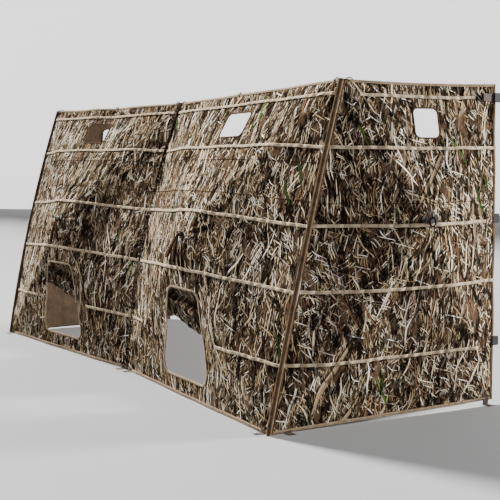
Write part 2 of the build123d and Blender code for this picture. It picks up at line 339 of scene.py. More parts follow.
def make_walls() -> list:
    """The four walls, with sizes as the CAD has them.

    Returns:
        Front and end walls of the right and left side.
    """
    way = np.array([LENGTH / 2, -SETBACK, 0.0])
    width = float(np.linalg.norm(way))
    lean = np.array([0.0, LEAN, HEIGHT])
    lu = float(lean @ unit(way))
    lv = float((lean @ lean - lu**2) ** 0.5)
    normal = np.cross(way, lean)
    seam = unit(np.array([0.0, -HEIGHT, LEAN])) * 0.074
    corner = unit(unit(normal) + np.array([1.0, 0, 0])) * 0.034
    walls = []
    for side in SIDES.values():
        walls.append(
            Wall(
                Surface.FRONT, side, np.array([0.0, FRONT_LINE + SETBACK, 0.0]), way, normal,
                np.array([(0, 0), (width, 0), (width + lu, lv), (lu, lv)]),
                (0.001, SLEEVE_RADIUS + 0.0005, 0, SEAM_RADIUS + 0.0005), 0.231, 0.282, (1.426, 1.572), 0.036,
                np.array([unit(normal) * 0.006, corner, unit(normal) * 0.026 - [0, 0, 0.012], seam]),
                11 if side > 0 else 12,
                (((0.0, 1.0),),) * 4 + (((0.0, 0.14 if side > 0 else 0.29), (0.71, 1.0)),),
            )
        )
        walls.append(
            Wall(
                Surface.END, side, np.array([LENGTH / 2, FRONT_LINE, 0.0]), np.array([0.0, 1, 0]),
                np.array([1.0, 0, 0]),
                np.array([(0, 0), (DEPTH, HEM_RISE), (DEPTH, HEIGHT), (LEAN, HEIGHT)]),
                (0.001, 0, 0, SLEEVE_RADIUS + 0.0005), 0.165, 0.148, (1.379, 1.522), -0.018,
                np.array([[0.004, 0, 0], [0.02, -0.012, 0], [0.018, 0, -0.01], corner]),
                21 if side > 0 else 22,
                (((0.1, 0.84),), ((0.0, 1.0),), ((0.0, 0.92),), ((0.0, 1.0),), ((0.0, 0.9),)),
            )
        )
    return walls


@dataclass
class Grid:
    """Points in rows and columns, and what is drawn on them."""

    points: np.ndarray
    uv: np.ndarray
    wrap_rows: bool = False
    wrap_columns: bool = False

    def faces(self, flip: bool) -> np.ndarray:
        """Four corners of every face.

        Args:
            flip: turn every face over.

        Returns:
            Rows of four point numbers.
        """
        rows, columns = self.points.shape[:2]
        number = np.arange(rows * columns).reshape(rows, columns)
        if self.wrap_rows:
            number = np.vstack([number, number[:1]])
        if self.wrap_columns:
            number = np.hstack([number, number[:, :1]])
        quads = np.stack(
            [number[:-1, :-1], number[:-1, 1:], number[1:, 1:], number[1:, :-1]], -1
        ).reshape(-1, 4)
        return quads[:, ::-1] if flip else quads


def build(
    name: str, points: np.ndarray, faces: Sequence, uv: np.ndarray, material: bpy.types.Material
) -> bpy.types.Object:
    """Make one mesh object at the origin.

    Args:
        name: the piece's name.
        points: rows of x, y, z in metres.
        faces: rows of point numbers.
        uv: rows of u, v for each point, in metres on the cloth.
        material: what covers it.

    Returns:
        The object, in the scene.
    """
    mesh = bpy.data.meshes.new(name)
    mesh.from_pydata(points.reshape(-1, 3).tolist(), [], [list(map(int, f)) for f in faces])
    layer = mesh.uv_layers.new(name="cloth")
    corner = np.empty(len(mesh.loops), np.int32)
    mesh.loops.foreach_get("vertex_index", corner)
    layer.data.foreach_set("uv", uv.reshape(-1, 2)[corner].ravel().astype(np.float32))
    mesh.polygons.foreach_set("use_smooth", [True] * len(mesh.polygons))
    mesh.materials.append(material)
    mesh.update()
    obj = bpy.data.objects.new(name, mesh)
    bpy.context.scene.collection.objects.link(obj)
    return obj


def join(parts: Sequence[tuple]) -> tuple:
    """Put several point-and-face sets into one.

    Args:
        parts: (points, faces, uv) of each.

    Returns:
        One (points, faces, uv).
    """
    points, faces, uv, start = [], [], [], 0
    for p, f, m in parts:
        p = p.reshape(-1, 3)
        points.append(p)
        uv.append(m.reshape(-1, 2))
        faces.extend((np.asarray(row) + start).tolist() for row in f)
        start += len(p)
    return np.vstack(points), faces, np.vstack(uv)


def caps(rows: int, columns: int, flip: bool) -> list:
    """End faces for a swept tube whose rows run along it and whose columns run round it.

    Args:
        rows: how many rows.
        columns: how many columns.
        flip: turn both over.

    Returns:
        Two faces.
    """
    first = list(range(columns))
    last = [(rows - 1) * columns + i for i in range(columns)]
    return [first[::-1], last] if flip else [first, last[::-1]]


def tube(path: np.ndarray, radius: np.ndarray, around: int = 12, closed: bool = False) -> tuple:
    """A round rod or cord along a line.

    Each ring is centre + radius (cos a n + sin a b), with n and b carried along the line.

    Args:
        path: rows of points.
        radius: one value, or one for each point.
        around: points in a ring.
        closed: the line joins its own start.

    Returns:
        (points, faces, uv).
    """
    path = np.asarray(path, float)
    radius = np.broadcast_to(np.asarray(radius, float), len(path))
    if closed:
        ahead, behind = np.roll(path, -1, 0), np.roll(path, 1, 0)
    else:
        ahead = np.vstack([path[1:], path[-1:] * 2 - path[-2:-1]])
        behind = np.vstack([path[:1] * 2 - path[1:2], path[:-1]])
    way = unit(ahead - behind)
    normal = np.cross(way[0], [0.0, 0.0, 1.0])
    if np.linalg.norm(normal) < 1e-3:
        normal = np.cross(way[0], [0.0, 1.0, 0.0])
    normals = []
    for w in way:
        normal = unit(normal - (normal @ w) * w)
        normals.append(normal)
    n = np.array(normals)
    b = np.cross(way, n)
    angle = np.linspace(0, 2 * pi, around, endpoint=False)
    ring = n[:, None] * np.cos(angle)[None, :, None] + b[:, None] * np.sin(angle)[None, :, None]
    points = path[:, None] + ring * radius[:, None, None]
    run = np.concatenate([[0], np.cumsum(np.linalg.norm(np.diff(path, axis=0), axis=1))])
    uv = np.stack(
        [np.broadcast_to(run[:, None], ring.shape[:2]),
         np.broadcast_to(angle[None] * float(radius.mean()), ring.shape[:2])], -1
    )
    grid = Grid(points, uv, wrap_rows=closed, wrap_columns=True)
    faces = grid.faces(True).tolist()
    if not closed:
        faces += caps(len(path), around, True)
    return points, faces, uv


def even(path: np.ndarray, step: float, closed: bool = False) -> np.ndarray:
    """Points at even spacing on a line.

    Args:
        path: rows of points.
        step: the spacing wanted.
        closed: the line joins its own start.

    Returns:
        Rows of points.
    """
    if closed:
        path = np.vstack([path, path[:1]])
    run = np.concatenate([[0], np.cumsum(np.linalg.norm(np.diff(path, axis=0), axis=1))])
    count = max(3, int(round(run[-1] / step)) + 1)
    at = np.linspace(0, run[-1], count)
    out = np.stack([np.interp(at, run, path[:, k]) for k in range(path.shape[1])], 1)
    return out[:-1] if closed else out


def rounded(corners: Sequence, radius: float, step: float = 0.01) -> np.ndarray:
    """A closed outline with round corners, at even spacing.

    Args:
        corners: the sharp corners, anticlockwise.
        radius: of each corner.
        step: the spacing wanted.

    Returns:
        Rows of u, v.
    """
    corners = np.asarray(corners, float)
    line = []
    for i, corner in enumerate(corners):
        back, on = unit(corners[i - 1] - corner), unit(corners[(i + 1) % len(corners)] - corner)
        half = np.arccos(np.clip(back @ on, -1, 1)) / 2
        centre = corner + unit(back + on) * radius / np.sin(half)
        start = corner + back * radius / np.tan(half) - centre
        sweep = pi - 2 * half
        for share in np.linspace(0, 1, 9):
            a = sweep * share
            turn = np.array([[cos(a), -sin(a)], [sin(a), cos(a)]])
            line.append(centre + turn @ start)
    return even(np.array(line), step, closed=True)


def window_outline(wall: Wall, grow: float = 0.0) -> np.ndarray:
    """The window's edge.

    Args:
        wall: the wall it is in.
        grow: how far to move it out.

    Returns:
        Rows of u, v.
    """
    half = wall.window_width / 2 + grow
    low, high = wall.window_span[0] - grow, wall.window_span[1] + grow
    mid = wall.middle
    return rounded([(mid - half, low), (mid + half, low), (mid + half, high), (mid - half, high)], 0.032)


def door_outline(wall: Wall, grow: float = 0.0) -> np.ndarray:
    """The dog door's edge.

    Args:
        wall: the wall it is in.
        grow: how far to move it out.

    Returns:
        Rows of u, v.
    """
    foot, head = DOOR_FOOT / 2 + grow, DOOR_HEAD / 2 + grow
    low, high = DOOR_LOW - grow, DOOR_HIGH + grow
    mid = wall.hub[0]
    return rounded([(mid - foot, low), (mid + foot, low), (mid + head, high), (mid - head, high)], 0.07)


def inside(points: np.ndarray, outline: np.ndarray) -> np.ndarray:
    """Which points are inside a closed outline, by counting crossings.

    Args:
        points: rows of u, v.
        outline: rows of u, v.

    Returns:
        One truth value for each point.
    """
    found = np.zeros(len(points), bool)
    for a, b in zip(outline, np.roll(outline, -1, 0)):
        spans = (a[1] > points[:, 1]) != (b[1] > points[:, 1])
        at = a[0] + (points[:, 1] - a[1]) * (b[0] - a[0]) / (b[1] - a[1] if b[1] != a[1] else 1e-12)
        found ^= spans & (points[:, 0] < at)
    return found


def nearest(points: np.ndarray, outline: np.ndarray) -> np.ndarray:
    """The closest spot on an outline to each point.

    Args:
        points: rows of u, v.
        outline: rows of u, v.

    Returns:
        Rows of u, v.
    """
    a, b = outline, np.roll(outline, -1, 0)
    way = b - a
    share = ((points[:, None] - a) * way).sum(-1) / (way * way).sum(-1)
    spots = a + np.clip(share, 0, 1)[..., None] * way
    pick = np.linalg.norm(points[:, None] - spots, axis=-1).argmin(1)
    return spots[np.arange(len(points)), pick]


def sweep(
    wall: Wall, path: np.ndarray, section: Sequence, closed: bool = False,
    ripple: Optional[Callable] = None,
) -> tuple:
    """A band of one section laid along a line on the cloth.

    Point (i, j) is path(i) + sideways offset(j), lifted by lift(j) + ripple(distance).

    Args:
        wall: the wall it lies on.
        path: rows of u, v.
        section: (offset, lift) pairs, clockwise as seen looking along the path.
        closed: the line joins its own start.
        ripple: extra lift for a distance along the path.

    Returns:
        (points, faces, uv).
    """
    if closed:
        way = unit(np.roll(path, -1, 0) - np.roll(path, 1, 0))
    else:
        way = unit(np.gradient(path, axis=0))
    sideways = np.stack([-way[:, 1], way[:, 0]], 1)
    run = np.concatenate([[0], np.cumsum(np.linalg.norm(np.diff(path, axis=0), axis=1))])
    section = np.asarray(section, float)
    spots = path[:, None] + sideways[:, None] * section[None, :, :1]
    lift = np.broadcast_to(section[None, :, 1], spots.shape[:2]).copy()
    if ripple is not None:
        lift += ripple(run)[:, None]
    points = wall.place(spots[..., 0], spots[..., 1], lift)
    uv = np.stack(
        [np.broadcast_to(run[:, None], lift.shape), np.broadcast_to(section[None, :, 0], lift.shape)], -1
    )
    grid = Grid(points, uv, wrap_rows=closed, wrap_columns=True)
    flip = wall.side > 0
    faces = grid.faces(flip).tolist()
    if not closed:
        faces += caps(len(path), len(section), flip)
    return points, faces, uv


def flat_section(width: float, low: float, thick: float, across: int = 3) -> list:
    """The section of a flat tape.

    Args:
        width: the tape's width.
        low: its underside's lift.
        thick: its thickness.
        across: points across each face.

    Returns:
        (offset, lift) pairs.
    """
    edge = np.linspace(-width / 2, width / 2, across + 2)
    crown = thick * (1 - 0.25 * np.abs(np.linspace(-1, 1, across + 2)) ** 4)
    over = [(o, low + c) for o, c in zip(edge, crown)]
    return over + [(edge[-1], low), (edge[0], low)]


def hex_colour(code: str) -> tuple:
    """An sRGB hex colour as linear red, green, blue and 1.

    Args:
        code: six hex digits.

    Returns:
        Four numbers.
    """
    channels = [int(code[i : i + 2], 16) / 255 for i in (0, 2, 4)]
    return tuple(c / 12.92 if c <= 0.04045 else ((c + 0.055) / 1.055) ** 2.4 for c in channels) + (1.0,)


class Graph:
    """A material's nodes, added one at a time."""

    def __init__(self, name: str) -> None:
        """Start an empty material. Args: name, the material's name."""
        self.material = bpy.data.materials.new(name)
        self.material.use_nodes = True
        self.tree = self.material.node_tree
        self.tree.nodes.clear()
        self.out = self.tree.nodes.new("ShaderNodeOutputMaterial")

    def add(self, kind: str, inputs: Optional[dict] = None, **settings) -> bpy.types.Node:
        """Add one node.

        Args:
            kind: the node's type.
            inputs: for each input, by name or number, a value or an output socket.
            settings: the node's own properties.

        Returns:
            The node.
        """
        node = self.tree.nodes.new(kind)
        for key, value in settings.items():
            setattr(node, key, value)
        for key, value in (inputs or {}).items():
            if isinstance(value, bpy.types.NodeSocket):
                self.tree.links.new(value, node.inputs[key])
            else:
                node.inputs[key].default_value = value
        return node

    def math(self, how: str, a, b=0.0) -> bpy.types.NodeSocket:
        """One sum. Args: how, the operation; a and b, values or sockets. Returns its result."""
        return self.add("ShaderNodeMath", {0: a, 1: b}, operation=how).outputs[0]

    def mix(self, share, a, b, how: str = "MIX") -> bpy.types.NodeSocket:
        """Mix two colours. Args: share of b; a and b, colours or sockets; how. Returns the colour."""
        return self.add(
            "ShaderNodeMix", {0: share, 6: a, 7: b}, data_type="RGBA", blend_type=how
        ).outputs[2]

    def noise(self, vector, scale: float, detail: float = 3.0, rough: float = 0.5) -> bpy.types.NodeSocket:
        """Even noise. Args: vector, where; scale per metre; detail; rough. Returns 0..1."""
        return self.add(
            "ShaderNodeTexNoise", {"Vector": vector, "Scale": scale, "Detail": detail, "Roughness": rough}
        ).outputs["Fac"]

    def stretch(self, vector, shift: tuple, angle: float, size: tuple) -> bpy.types.NodeSocket:
        """Move, turn and scale. Args: vector; shift; angle; size of one unit. Returns the vector."""
        return self.add(
            "ShaderNodeMapping",
            {"Vector": vector, "Location": (*shift, 0), "Rotation": (0, 0, angle), "Scale": (*size, 1)},
            vector_type="TEXTURE",
        ).outputs[0]

    def ramp(self, share, stops: Sequence[tuple], step: bool = False) -> bpy.types.NodeSocket:
        """Colours along a scale.

        Args:
            share: 0..1.
            stops: (place, hex colour) pairs.
            step: no blending between them.

        Returns:
            The colour.
        """
        node = self.add("ShaderNodeValToRGB", {0: share})
        ramp = node.color_ramp
        ramp.interpolation = "CONSTANT" if step else "LINEAR"
        for i, (place, code) in enumerate(stops):
            element = ramp.elements[i] if i < 2 else ramp.elements.new(place)
            element.position, element.color = place, hex_colour(code)
        return node.outputs[0]

    def between(self, value, low: float, high: float) -> bpy.types.NodeSocket:
        """A soft step. Args: value; low gives 0; high gives 1. Returns 0..1."""
        return self.add(
            "ShaderNodeMapRange", {0: value, 1: low, 2: high, 3: 0.0, 4: 1.0},
            interpolation_type="SMOOTHSTEP",
        ).outputs[0]

    def bump(self, height, strength: float, distance: float, under=None) -> bpy.types.NodeSocket:
        """Raise the look.

        Args:
            height: 0..1.
            strength: how much shows.
            distance: in metres.
            under: another bump.

        Returns:
            The normal.
        """
        inputs = {"Height": height, "Strength": strength, "Distance": distance}
        if under is not None:
            inputs["Normal"] = under
        return self.add("ShaderNodeBump", inputs).outputs[0]

    def weave(self, source) -> bpy.types.NodeSocket:
        """Threads 0.7 mm apart. Args: source, place on the cloth. Returns 0 or 1."""
        return self.add("ShaderNodeTexChecker", {"Vector": source, "Scale": 1400.0}).outputs[1]

    def finish(self, colour, rough, normal=None, **more) -> bpy.types.Material:
        """Close the material. Args: colour; rough; normal; more shader inputs. Returns it."""
        inputs = {"Base Color": colour, "Roughness": rough}
        if normal is not None:
            inputs["Normal"] = normal
        inputs.update({key.replace("_", " "): value for key, value in more.items()})
        shader = self.add("ShaderNodeBsdfPrincipled", inputs)
        self.tree.links.new(shader.outputs[0], self.out.inputs[0])
        return self.material


@dataclass(frozen=True)
class Leaves:
    """One layer of printed leaves: stretched cells, of which a share is painted."""

    angle: float
    width: float
    length: float
    share: float
    colours: Sequence[tuple]
    wobble: float
    seed: float
    edge: float = 0.26
    outline: float = 0.88
    patchy: float = 0.0
    curl: float = 3.2

    def paint(self, g: Graph, uv, under) -> bpy.types.NodeSocket:
        """Paint the layer, each leaf with a lit side and a dark outline.

        Args:
            g: the material.
            uv: place on the cloth, in metres.
            under: the colour so far.

        Returns:
            The colour with the leaves on it.
        """
        waver = g.noise(g.stretch(uv, (self.seed, self.seed * 0.7), 0, (1, 1)), self.curl, 1.5)
        shift = g.math("MULTIPLY", g.math("SUBTRACT", waver, 0.5), self.wobble)
        aside = g.add("ShaderNodeCombineXYZ", {0: shift, 1: g.math("MULTIPLY", shift, 0.3)}).outputs[0]
        moved = g.add("ShaderNodeVectorMath", {0: uv, 1: aside}).outputs[0]
        cell = g.stretch(moved, (self.seed * 3.1, self.seed), self.angle, (self.width, self.length))
        spots = g.add("ShaderNodeTexVoronoi", {"Vector": cell, "Scale": 1.0}, voronoi_dimensions="2D")
        pick = g.add("ShaderNodeSeparateColor", {0: spots.outputs["Color"]})
        chosen = pick.outputs[0]
        if self.patchy:
            patch = g.noise(g.stretch(uv, (self.seed * 1.7, 0.3), 0, (1, 1)), 2.1, 1.0)
            more = g.math("MULTIPLY", g.math("SUBTRACT", patch, 0.5), self.patchy)
            chosen = g.math("ADD", chosen, more)
        painted = g.math("GREATER_THAN", chosen, 1 - self.share)
        reach = g.math("MULTIPLY", self.edge, g.math("ADD", 0.55, g.math("MULTIPLY", pick.outputs[2], 0.45)))
        away = g.math("DIVIDE", spots.outputs["Distance"], reach)
        leaf = g.math("MULTIPLY", painted, g.between(away, 1.04, 0.92))
        rim = g.math("MULTIPLY", painted, g.between(away, 2.1, 1.0))
        here = g.add("ShaderNodeSeparateXYZ", {0: cell}).outputs[0]
        middle = g.add("ShaderNodeSeparateXYZ", {0: spots.outputs["Position"]}).outputs[0]
        tone = g.math("ADD", 1.04, g.math("MULTIPLY", g.math("SUBTRACT", here, middle), -2.4))
        grain = g.noise(g.stretch(cell, (0, 0), 0, (0.12, 1.6)), 1.0, 2.0)
        tone = g.math("MULTIPLY", tone, g.math("ADD", 0.72, g.math("MULTIPLY", grain, 0.55)))
        grey = g.add("ShaderNodeCombineColor", {0: tone, 1: tone, 2: tone}).outputs[0]
        colour = g.mix(1.0, g.ramp(pick.outputs[1], self.colours, step=True), grey, "MULTIPLY")
        under = g.mix(g.math("MULTIPLY", rim, self.outline), under, hex_colour("0c0806"))
        return g.mix(leaf, under, colour)


BROWN = [(0.0, "5a4a3b"), (0.25, "7f6b55"), (0.5, "6a4c37"), (0.72, "7d7469"), (0.86, "a8937a")]
TAN = [(0.0, "b09877"), (0.25, "dcc6a2"), (0.5, "fdeed0"), (0.72, "a09586"), (0.86, "7c5d45")]
PALE = [(0.0, "efddbe"), (0.3, "fff7e6"), (0.55, "c6ab84"), (0.78, "b8ac9c"), (0.9, "83634a")]
STALK = [(0.0, "a99172"), (0.4, "8a775f"), (0.7, "c6b28f")]
GREEN = [(0.0, "2e4520"), (0.5, "4d6a30")]
REEDS = (
    Leaves(0.12, 0.013, 0.20, 0.55, BROWN, 0.12, 1.3, patchy=0.6, edge=0.28),
    Leaves(-0.38, 0.015, 0.16, 0.44, BROWN, 0.14, 4.1, patchy=0.8, edge=0.28),
    Leaves(0.03, 0.010, 0.28, 0.42, TAN, 0.10, 2.7, patchy=2.6, edge=0.28),
    Leaves(0.70, 0.012, 0.11, 0.28, PALE, 0.09, 8.7, patchy=2.4, curl=11.0),
    Leaves(-0.85, 0.011, 0.10, 0.28, PALE, 0.09, 12.4, patchy=2.4, curl=11.0),
    Leaves(0.35, 0.009, 0.09, 0.30, TAN, 0.08, 18.3, patchy=2.0, curl=13.0),
    Leaves(0.30, 0.012, 0.18, 0.30, TAN, 0.08, 6.6, patchy=1.8, curl=7.0),
    Leaves(-0.20, 0.011, 0.22, 0.26, TAN, 0.10, 16.1, patchy=1.8, curl=5.0),
    Leaves(0.95, 0.010, 0.16, 0.18, PALE, 0.10, 20.2, patchy=2.2, curl=8.0),
    Leaves(0.06, 0.020, 0.50, 0.28, PALE, 0.15, 5.9, patchy=1.4, edge=0.24),
    Leaves(-0.30, 0.022, 0.60, 0.22, PALE, 0.20, 7.3, patchy=1.4, edge=0.24),
    Leaves(-0.55, 0.046, 0.85, 0.12, STALK, 0.20, 10.9, edge=0.27),
    Leaves(0.62, 0.022, 0.55, 0.12, TAN, 0.18, 13.8, edge=0.24),
    Leaves(1.28, 0.013, 0.26, 0.08, PALE, 0.10, 9.2, edge=0.24),
    Leaves(0.5, 0.030, 0.40, 0.035, GREEN, 0.12, 15.2, edge=0.28),
)


@dataclass(frozen=True)
class ReedPrint:
    """Woven polyester with a printed marsh of dead reeds: dull, with no shine at all."""

    name: str
    shift: tuple
    # Share of painted shade: the whole print is mixed toward near-black brown, for cloth that hangs in
    # shadow.
    painted_shade: float = 0.0

    def make(self) -> bpy.types.Material:
        """Dark ground, fine streaks, layers of leaves, then dark gaps and plain smears, and last, if asked
        for, painted shade over the whole print.

        Returns:
            The material.
        """
        g = Graph(self.name)
        source = g.add("ShaderNodeUVMap", uv_map="cloth").outputs[0]
        uv = g.stretch(source, self.shift, 0, (1, 1))
        ground = [(0.32, "100b08"), (0.45, "231a14"), (0.57, "4a3a2d"), (0.70, "1e1611")]
        colour = g.ramp(g.noise(uv, 5.0, 4.0, 0.6), ground)
        streak = g.noise(g.stretch(uv, (0.2, 0.1), 0.06, (0.005, 0.06)), 1.0, 3.0, 0.55)
        colour = g.mix(g.between(streak, 0.53, 0.66), colour, hex_colour("806a52"))
        streak = g.noise(g.stretch(uv, (3.2, 0.7), -0.4, (0.005, 0.05)), 1.0, 3.0, 0.55)
        colour = g.mix(g.between(streak, 0.58, 0.68), colour, hex_colour("c9b190"))
        for layer in REEDS:
            colour = layer.paint(g, uv, colour)
        gaps = g.noise(g.stretch(uv, (0.5, 2.5), 0.2, (0.05, 0.15)), 1.0, 4.0, 0.65)
        colour = g.mix(g.math("MULTIPLY", g.between(gaps, 0.52, 0.58), 0.88), colour, hex_colour("130e0a"))
        plain = g.noise(g.stretch(uv, (7.5, 1.5), 0.1, (0.09, 0.16)), 1.0, 3.0, 0.6)
        colour = g.mix(g.math("MULTIPLY", g.between(plain, 0.59, 0.65), 0.8), colour, hex_colour("5a4636"))
        # Painted shade: the whole print is darkened toward 1d1612 by this share, standing in for the shadow
        # inside the openings.
        if self.painted_shade:
            colour = g.mix(self.painted_shade, colour, hex_colour("1d1612"))
        crease = g.noise(source, 34.0, 4.0, 0.62)
        normal = g.bump(crease, 0.35, 0.006, g.bump(g.weave(source), 0.12, 0.0003))
        return g.finish(colour, 1.0, normal, Specular_IOR_Level=0.0)


@dataclass(frozen=True)
class WovenCloth:
    """Plain woven polyester, a little darker in its hollows."""

    name: str
    colour: str
    hollow: str
    rough: float = 0.88

    def make(self) -> bpy.types.Material:
        """Two close browns in soft patches over a weave. Returns the material."""
        g = Graph(self.name)
        source = g.add("ShaderNodeUVMap", uv_map="cloth").outputs[0]
        wear = g.noise(source, 9.0, 4.0, 0.6)
        colour = g.mix(g.between(wear, 0.35, 0.65), hex_colour(self.hollow), hex_colour(self.colour))
        weave = g.weave(source)
        colour = g.mix(g.math("MULTIPLY", weave, 0.12), colour, hex_colour(self.hollow))
        crease = g.noise(source, 30.0, 4.0, 0.6)
        normal = g.bump(crease, 0.3, 0.005, g.bump(weave, 0.15, 0.0003))
        return g.finish(colour, self.rough, normal, Specular_IOR_Level=0.05)


@dataclass(frozen=True)
class Webbing:
    """Ribbed nylon tape with sewn rows along it and bars of stitching across it."""

    name: str
    colour: str
    hollow: str
    width: float
    rows: Sequence[float] = ()
    tack: float = 0.0
    thread: str = "2a211b"

    def make(self) -> bpy.types.Material:
        """Ribs and stitches.

        The rib is sin(2 pi u / 2.2 mm). A stitch row is where |v - row| < 0.6 mm and the
        distance along is in the first two thirds of each 4 mm. Bars come every tack.

        Returns:
            The material.
        """
        g = Graph(self.name)
        source = g.add("ShaderNodeUVMap", uv_map="cloth").outputs[0]
        split = g.add("ShaderNodeSeparateXYZ", {0: source})
        along, off = split.outputs[0], split.outputs[1]
        wave = g.math("SINE", g.math("MULTIPLY", along, 2 * pi / 0.0022))
        rib = g.math("ADD", 0.5, g.math("MULTIPLY", wave, 0.5))
        wear = g.noise(source, 26.0, 4.0, 0.6)
        colour = g.mix(g.between(wear, 0.3, 0.7), hex_colour(self.hollow), hex_colour(self.colour))
        colour = g.mix(g.math("MULTIPLY", rib, 0.22), colour, hex_colour(self.hollow))
        height = g.math("MULTIPLY", rib, 0.5)
        for row in self.rows:
            near = g.math("LESS_THAN", g.math("ABSOLUTE", g.math("SUBTRACT", off, row)), 0.0006)
            dash = g.math("LESS_THAN", g.math("FRACT", g.math("DIVIDE", along, 0.004)), 0.66)
            seam = g.math("MULTIPLY", near, dash)
            colour = g.mix(seam, colour, hex_colour(self.thread))
            height = g.math("SUBTRACT", height, g.math("MULTIPLY", seam, 0.5))
        if self.tack:
            phase = g.math("FRACT", g.math("DIVIDE", along, self.tack))
            at = g.math("ABSOLUTE", g.math("SUBTRACT", phase, 0.5))
            bar = g.math("MULTIPLY", g.math("GREATER_THAN", at, 0.5 - 0.0018 / self.tack),
                         g.math("LESS_THAN", g.math("ABSOLUTE", off), self.width * 0.44))
            colour = g.mix(g.math("MULTIPLY", bar, 0.85), colour, hex_colour(self.thread))
            height = g.math("SUBTRACT", height, bar)
        return g.finish(colour, 1.0, g.bump(height, 0.5, 0.0006), Specular_IOR_Level=0.0)


@dataclass(frozen=True)
class Moulded:
    """Moulded nylon, or drawn glass-fibre rod when it has streaks; dull, with scuffs."""

    name: str
    colour: str
    rough: float
    streaks: float = 0.0

    def make(self) -> bpy.types.Material:
        """One colour scuffed towards grey over a fine grain. Returns the material."""
        g = Graph(self.name)
        at = g.add("ShaderNodeTexCoord").outputs["Object"]
        wear = g.noise(at, 60.0, 4.0, 0.6)
        grain = g.noise(at, 900.0, 2.0, 0.5)
        scuffs = g.math("MULTIPLY", wear, 0.5 + self.streaks)
        colour = g.mix(scuffs, hex_colour(self.colour), hex_colour("4a4642"))
        worn = g.math("ADD", self.rough - 0.08, g.math("MULTIPLY", wear, 0.18))
        return g.finish(colour, worn, g.bump(grain, 0.15, 0.0004), Specular_IOR_Level=0.25)


@dataclass
class Looks:
    """The materials that pieces share."""

    print_by_wall: dict
    # The print with painted shade, used for the window and door flaps, the middle seam and its tapes.
    flap: bpy.types.Material
    lining: bpy.types.Material
    strap: bpy.types.Material
    trim: bpy.types.Material
    sleeve: bpy.types.Material
    tan: bpy.types.Material
    dark: bpy.types.Material
    tab: bpy.types.Material
    pocket: bpy.types.Material
    black: bpy.types.Material
    rod: bpy.types.Material
    cap: bpy.types.Material


def make_looks(walls: Sequence[Wall]) -> Looks:
    """Make every material.

    Args:
        walls: each gets its own part of the print.

    Returns:
        The materials.
    """
    prints = {w.name: ReedPrint(f"print_{w.name}", (-1.7 * i - 0.4, 0.63 * i)).make()
              for i, w in enumerate(walls)}
    finishes = (
        # The flap print carries painted shade, 45% toward near-black brown, standing in for the shadow inside
        # the openings.
        ReedPrint("print_flap_painted_shade", (2.3, -1.1), 0.45),
        WovenCloth("lining_brown", "5e4d3e", "4c3e32"),
        Webbing("webbing_tan", "d2bfa3", "a8937a", STRAP_WIDTH, tack=0.075, thread="6d5b47"),
        Webbing("tape_brown", "66523f", "453629", 0.02, rows=(-0.006, 0.006), thread="a58e6e"),
        Webbing("tape_sleeve", "75614d", "4c3c2f", 0.03, rows=(-0.008, -0.004, 0.004, 0.008),
                thread="8f7a5f"),
        Webbing("tape_tan", "9f8b73", "75634f", 0.014, rows=(-0.004, 0.004), thread="cdbb9c"),
        Webbing("webbing_dark", "3b2b21", "251b15", 0.025, rows=(-0.009, 0.009), thread="14100d"),
        Moulded("webbing_tab", "4a392c", 0.85),
        WovenCloth("pocket_dark", "2b2622", "1d1916", 0.7),
        Moulded("nylon_black", "1b1a1a", 0.62),
        Moulded("rod_black", "1b1b1c", 0.45, 0.1),
        Moulded("nylon_cap", "0f1011", 0.62),
    )
    return Looks(prints, *(finish.make() for finish in finishes))


@dataclass
class WallPiece:
    """Something sewn to one wall."""

    wall: Wall
    looks: Looks

    def dress(self, obj: bpy.types.Object, slot: str, body: str = "") -> bpy.types.Object:
        """Fix a piece to its body and give it a mesh of its own.

        Args:
            obj: the piece.
            slot: not used.
            body: the CAD body it rides on, if not the wall itself.

        Returns:
            The piece.
        """
        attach(obj, body or f"wall_{self.wall.name}")
        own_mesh(obj)
        log.info("%s: %d faces", obj.name, len(obj.data.polygons))
        return obj

    def thicken(self, obj: bpy.types.Object, offset: float, lined: bool = False) -> None:
        """Give cloth its thickness.

        Args:
            obj: the piece.
            offset: 0 for both ways, -1 for inward.
            lined: its second face is the lining.
        """
        if lined:
            obj.data.materials.append(self.looks.lining)
        thick = obj.modifiers.new("thickness", "SOLIDIFY")
        thick.thickness, thick.offset, thick.material_offset = CLOTH, offset, int(lined)

    def level(self, v: float) -> tuple:
        """Where a level line meets the wall's left and right edges. Args: v. Returns two points."""
        edge = self.wall.edge
        left, right = edge[3] - edge[0], edge[2] - edge[1]
        return edge[0] + left * (v - edge[0][1]) / left[1], edge[1] + right * (v - edge[1][1]) / right[1]


